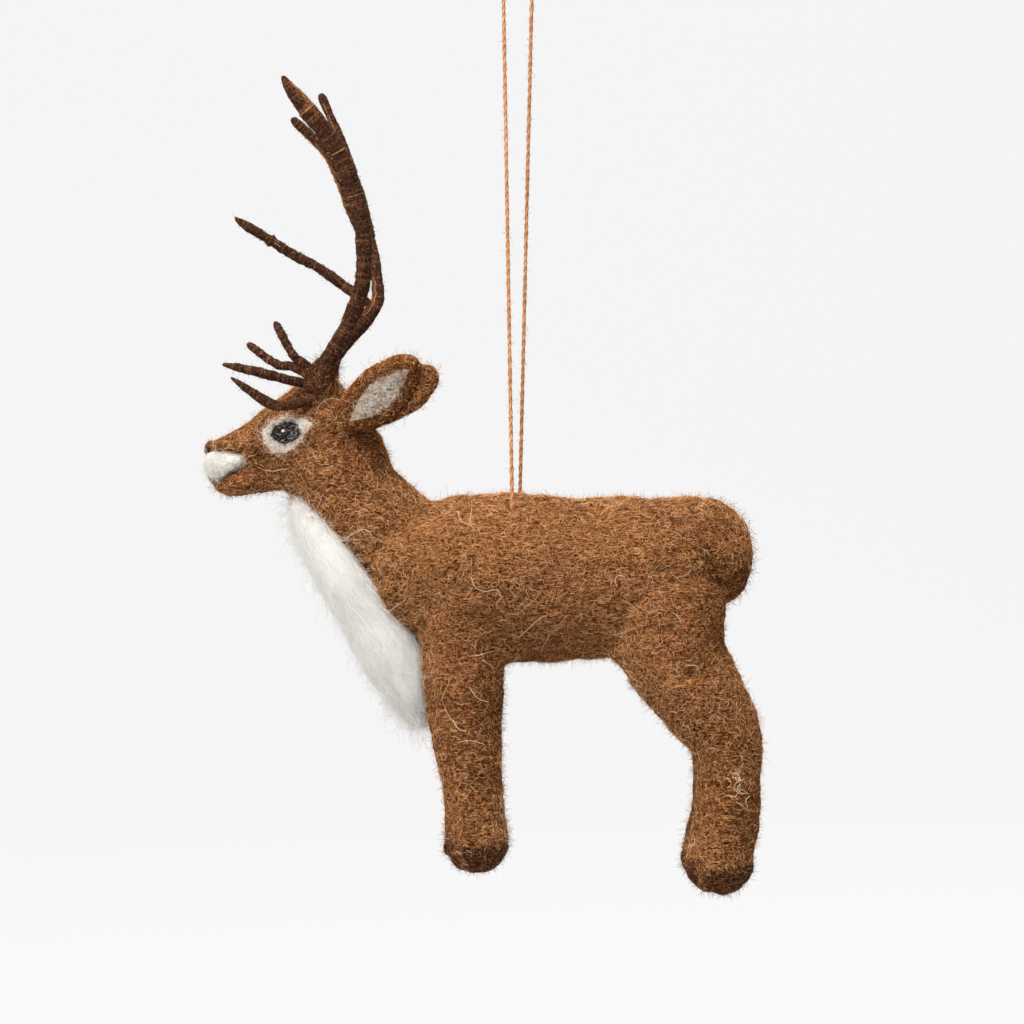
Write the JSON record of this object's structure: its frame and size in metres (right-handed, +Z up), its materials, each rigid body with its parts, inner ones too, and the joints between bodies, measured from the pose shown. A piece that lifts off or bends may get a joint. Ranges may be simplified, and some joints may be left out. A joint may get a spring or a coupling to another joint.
{
  "type": "felt reindeer ornament",
  "caption": "Needle-felted wool reindeer with thread-wound wire antlers, hanging from a loop of twisted cord stitched through its back.",
  "frame": {"origin": "inside of the top of the cord loop, where a hook or twig holds it", "axes": "+Z up along the hanging cord, -X towards the animal's nose, +Y towards its right side"},
  "size_m": [0.1108, 0.0412, 0.1877],
  "materials": {
    "brown_wool": "matted brown wool",
    "rust_wool": "matted red-brown wool",
    "dark_wool": "matted dark brown wool",
    "white_wool": "loose white wool",
    "grey_wool": "matted grey wool",
    "black_wool": "matted charcoal wool",
    "core_wool": "undyed core wool",
    "antler_thread": "wound dark brown thread",
    "tan_cord": "two-ply twisted cord",
    "frame_wire": "plain soft wire",
    "antler_wire": "plain drawn wire"
  },
  "bodies": {
    "hanger": {"cord_loop": "tan_cord"},
    "stitch": {"cord_stitch": "tan_cord"},
    "reindeer": {"body_core": "core_wool", "torso_coat": "brown_wool", "neck": "brown_wool", "throat_mane": "white_wool", "tail": "brown_wool", "head": "brown_wool", "lower_jaw": "dark_wool", "white_muzzle": "white_wool", "nose_pad": "dark_wool", "spine_wire": "frame_wire", "front_leg_wire": "frame_wire", "hind_leg_wire": "frame_wire", "left_eye_patch": "white_wool", "left_pupil": "black_wool", "left_ear": "rust_wool", "left_ear_lining": "grey_wool", "left_antler_wire": "antler_wire", "left_antler_burr": "dark_wool", "left_antler_beam": "antler_thread", "left_upper_brow_tine": "antler_thread", "left_lower_brow_tine": "antler_thread", "front_left_leg": "brown_wool", "front_left_outer_toe": "dark_wool", "front_left_inner_toe": "dark_wool", "hind_left_leg": "brown_wool", "hind_left_outer_toe": "dark_wool", "hind_left_inner_toe": "dark_wool", "right_eye_patch": "white_wool", "right_pupil": "black_wool", "right_ear": "rust_wool", "right_ear_lining": "grey_wool", "right_antler_wire": "antler_wire", "right_antler_burr": "dark_wool", "right_antler_beam": "antler_thread", "right_upper_brow_tine": "antler_thread", "right_lower_brow_tine": "antler_thread", "front_right_leg": "brown_wool", "front_right_outer_toe": "dark_wool", "front_right_inner_toe": "dark_wool", "hind_right_leg": "brown_wool", "hind_right_outer_toe": "dark_wool", "hind_right_inner_toe": "dark_wool", "right_middle_tine": "antler_thread", "right_fork_tine": "antler_thread"}
  },
  "joints": [
    {"name": "cord_twist", "type": "hinge", "parent": "hanger", "child": "stitch", "pos_m": [0, 0, -0.0675], "axis": [0, 0, 1], "range_deg": [-180, 180]},
    {"name": "body_swing", "type": "hinge", "parent": "stitch", "child": "reindeer", "pos_m": [0, 0, -0.1101], "axis": [0, 1, 0], "range_deg": [-75, 45]}
  ]
}
